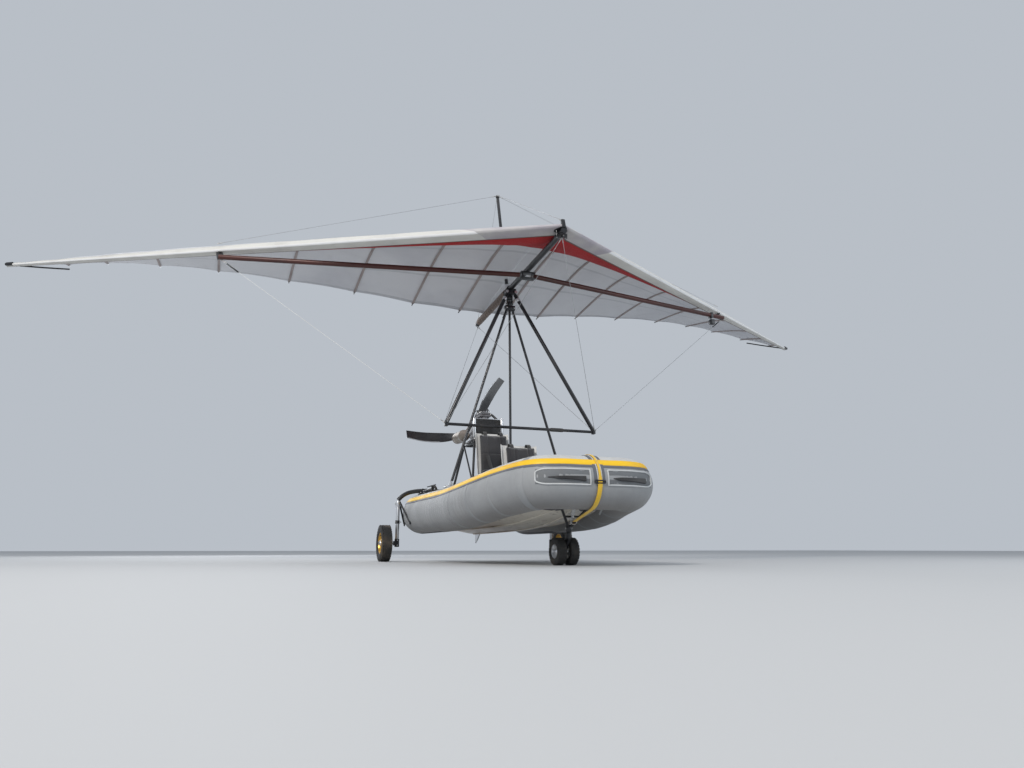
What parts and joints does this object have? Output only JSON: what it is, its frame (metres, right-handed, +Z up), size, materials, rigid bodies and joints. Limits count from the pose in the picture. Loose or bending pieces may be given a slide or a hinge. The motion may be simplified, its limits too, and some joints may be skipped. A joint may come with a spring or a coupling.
{
  "type": "amphibious ultralight trike",
  "caption": "Inflatable V-bottom boat on wheels with a pusher engine on a bed and a flexible weight-shift wing on a pylon above.",
  "frame": {"origin": "on the ground, in the middle of the whole craft's box", "axes": "+X to port across the span, +Y aft, +Z up; the bow looks along -Y"},
  "size_m": [10.9442, 4.627, 4.4672],
  "materials": {
    "tube_fabric": "matte coated",
    "yellow_tape": "matte",
    "gelcoat": "satin, soiled",
    "black_tube": "satin",
    "propeller_black": "satin",
    "brown_tube": "satin",
    "bare_metal": "brushed",
    "gold_rim": "satin",
    "tyre_rubber": "matte",
    "engine_metal": "cast",
    "sail_white": "matte",
    "sail_pale": "matte, translucent",
    "sail_red": "matte",
    "seat_cloth": "woven",
    "steel_wire": "bright",
    "tank_plastic": "translucent"
  },
  "bodies": {
    "boat": {"bow_tube": "tube_fabric", "side_tube_port": "tube_fabric", "side_tube_starboard": "tube_fabric", "rub_strake": "yellow_tape", "hull": "gelcoat", "transom": "gelcoat", "pylon_head": "black_tube", "pylon_strut_port": "black_tube", "pylon_strut_starboard": "black_tube", "mast": "black_tube", "seat_frame": "black_tube", "pilot_seat": "seat_cloth", "rear_seat": "seat_cloth", "foot_bar": "bare_metal", "engine_bed": "black_tube", "engine": "engine_metal", "radiator": "black_tube", "exhaust": "bare_metal", "fuel_tank": "tank_plastic", "gear_beam": "black_tube", "gear_leg_port": "bare_metal", "gear_leg_starboard": "bare_metal", "nose_frame": "black_tube", "nose_shock": "bare_metal", "nose_strap": "yellow_tape"},
    "hang_bracket": {"hang_bracket": "black_tube"},
    "wing": {"keel": "black_tube", "crossbar_port": "brown_tube", "crossbar_starboard": "brown_tube", "leading_edge_port": "sail_white", "leading_edge_starboard": "sail_white", "sail_port": "sail_pale", "sail_starboard": "sail_pale", "lower_panel_port": "sail_red", "lower_panel_starboard": "sail_red", "tip_rod_port": "black_tube", "tip_rod_starboard": "black_tube", "kingpost": "black_tube", "base_bar": "black_tube", "downtube_port": "black_tube", "downtube_starboard": "black_tube", "wires_front": "steel_wire", "wires_rear": "steel_wire", "wire_side_port": "steel_wire", "wire_side_starboard": "steel_wire", "wires_upper": "steel_wire"},
    "propeller": {"propeller_hub": "propeller_black", "propeller_blade_1": "propeller_black", "propeller_blade_2": "propeller_black", "propeller_blade_3": "propeller_black"},
    "main_wheel_port": {"main_tyre_port": "tyre_rubber", "main_rim_port": "gold_rim"},
    "main_wheel_starboard": {"main_tyre_starboard": "tyre_rubber", "main_rim_starboard": "gold_rim"},
    "nose_fork": {"nose_fork": "black_tube"},
    "nose_wheels": {"nose_wheel_hubs": "bare_metal", "nose_tyre_port": "tyre_rubber", "nose_tyre_starboard": "tyre_rubber"}
  },
  "joints": [
    {"name": "wing_pitch", "type": "hinge", "parent": "boat", "child": "hang_bracket", "pos_m": [0, -0.117, 2.93], "axis": [-1, 0, 0], "range_deg": [-12, 15]},
    {"name": "wing_roll", "type": "hinge", "parent": "hang_bracket", "child": "wing", "pos_m": [0, -0.10387, 3.09949], "axis": [0, 0.997, -0.0773], "range_deg": [-8, 8]},
    {"name": "propeller_spin", "type": "hinge", "parent": "boat", "child": "propeller", "pos_m": [0, 1.235, 1.58], "axis": [0, 1, 0], "continuous": true},
    {"name": "main_wheel_port_spin", "type": "hinge", "parent": "boat", "child": "main_wheel_port", "pos_m": [1.14, 1.023, 0.211], "axis": [1, 0, 0], "continuous": true},
    {"name": "main_wheel_starboard_spin", "type": "hinge", "parent": "boat", "child": "main_wheel_starboard", "pos_m": [-1.14, 1.023, 0.211], "axis": [1, 0, 0], "continuous": true},
    {"name": "nose_steering", "type": "hinge", "parent": "boat", "child": "nose_fork", "pos_m": [0, -1.665, 0.33], "axis": [0, 0, 1], "range_deg": [-30, 30]},
    {"name": "nose_wheels_spin", "type": "hinge", "parent": "nose_fork", "child": "nose_wheels", "pos_m": [0, -1.557, 0.125], "axis": [1, 0, 0], "continuous": true}
  ]
}
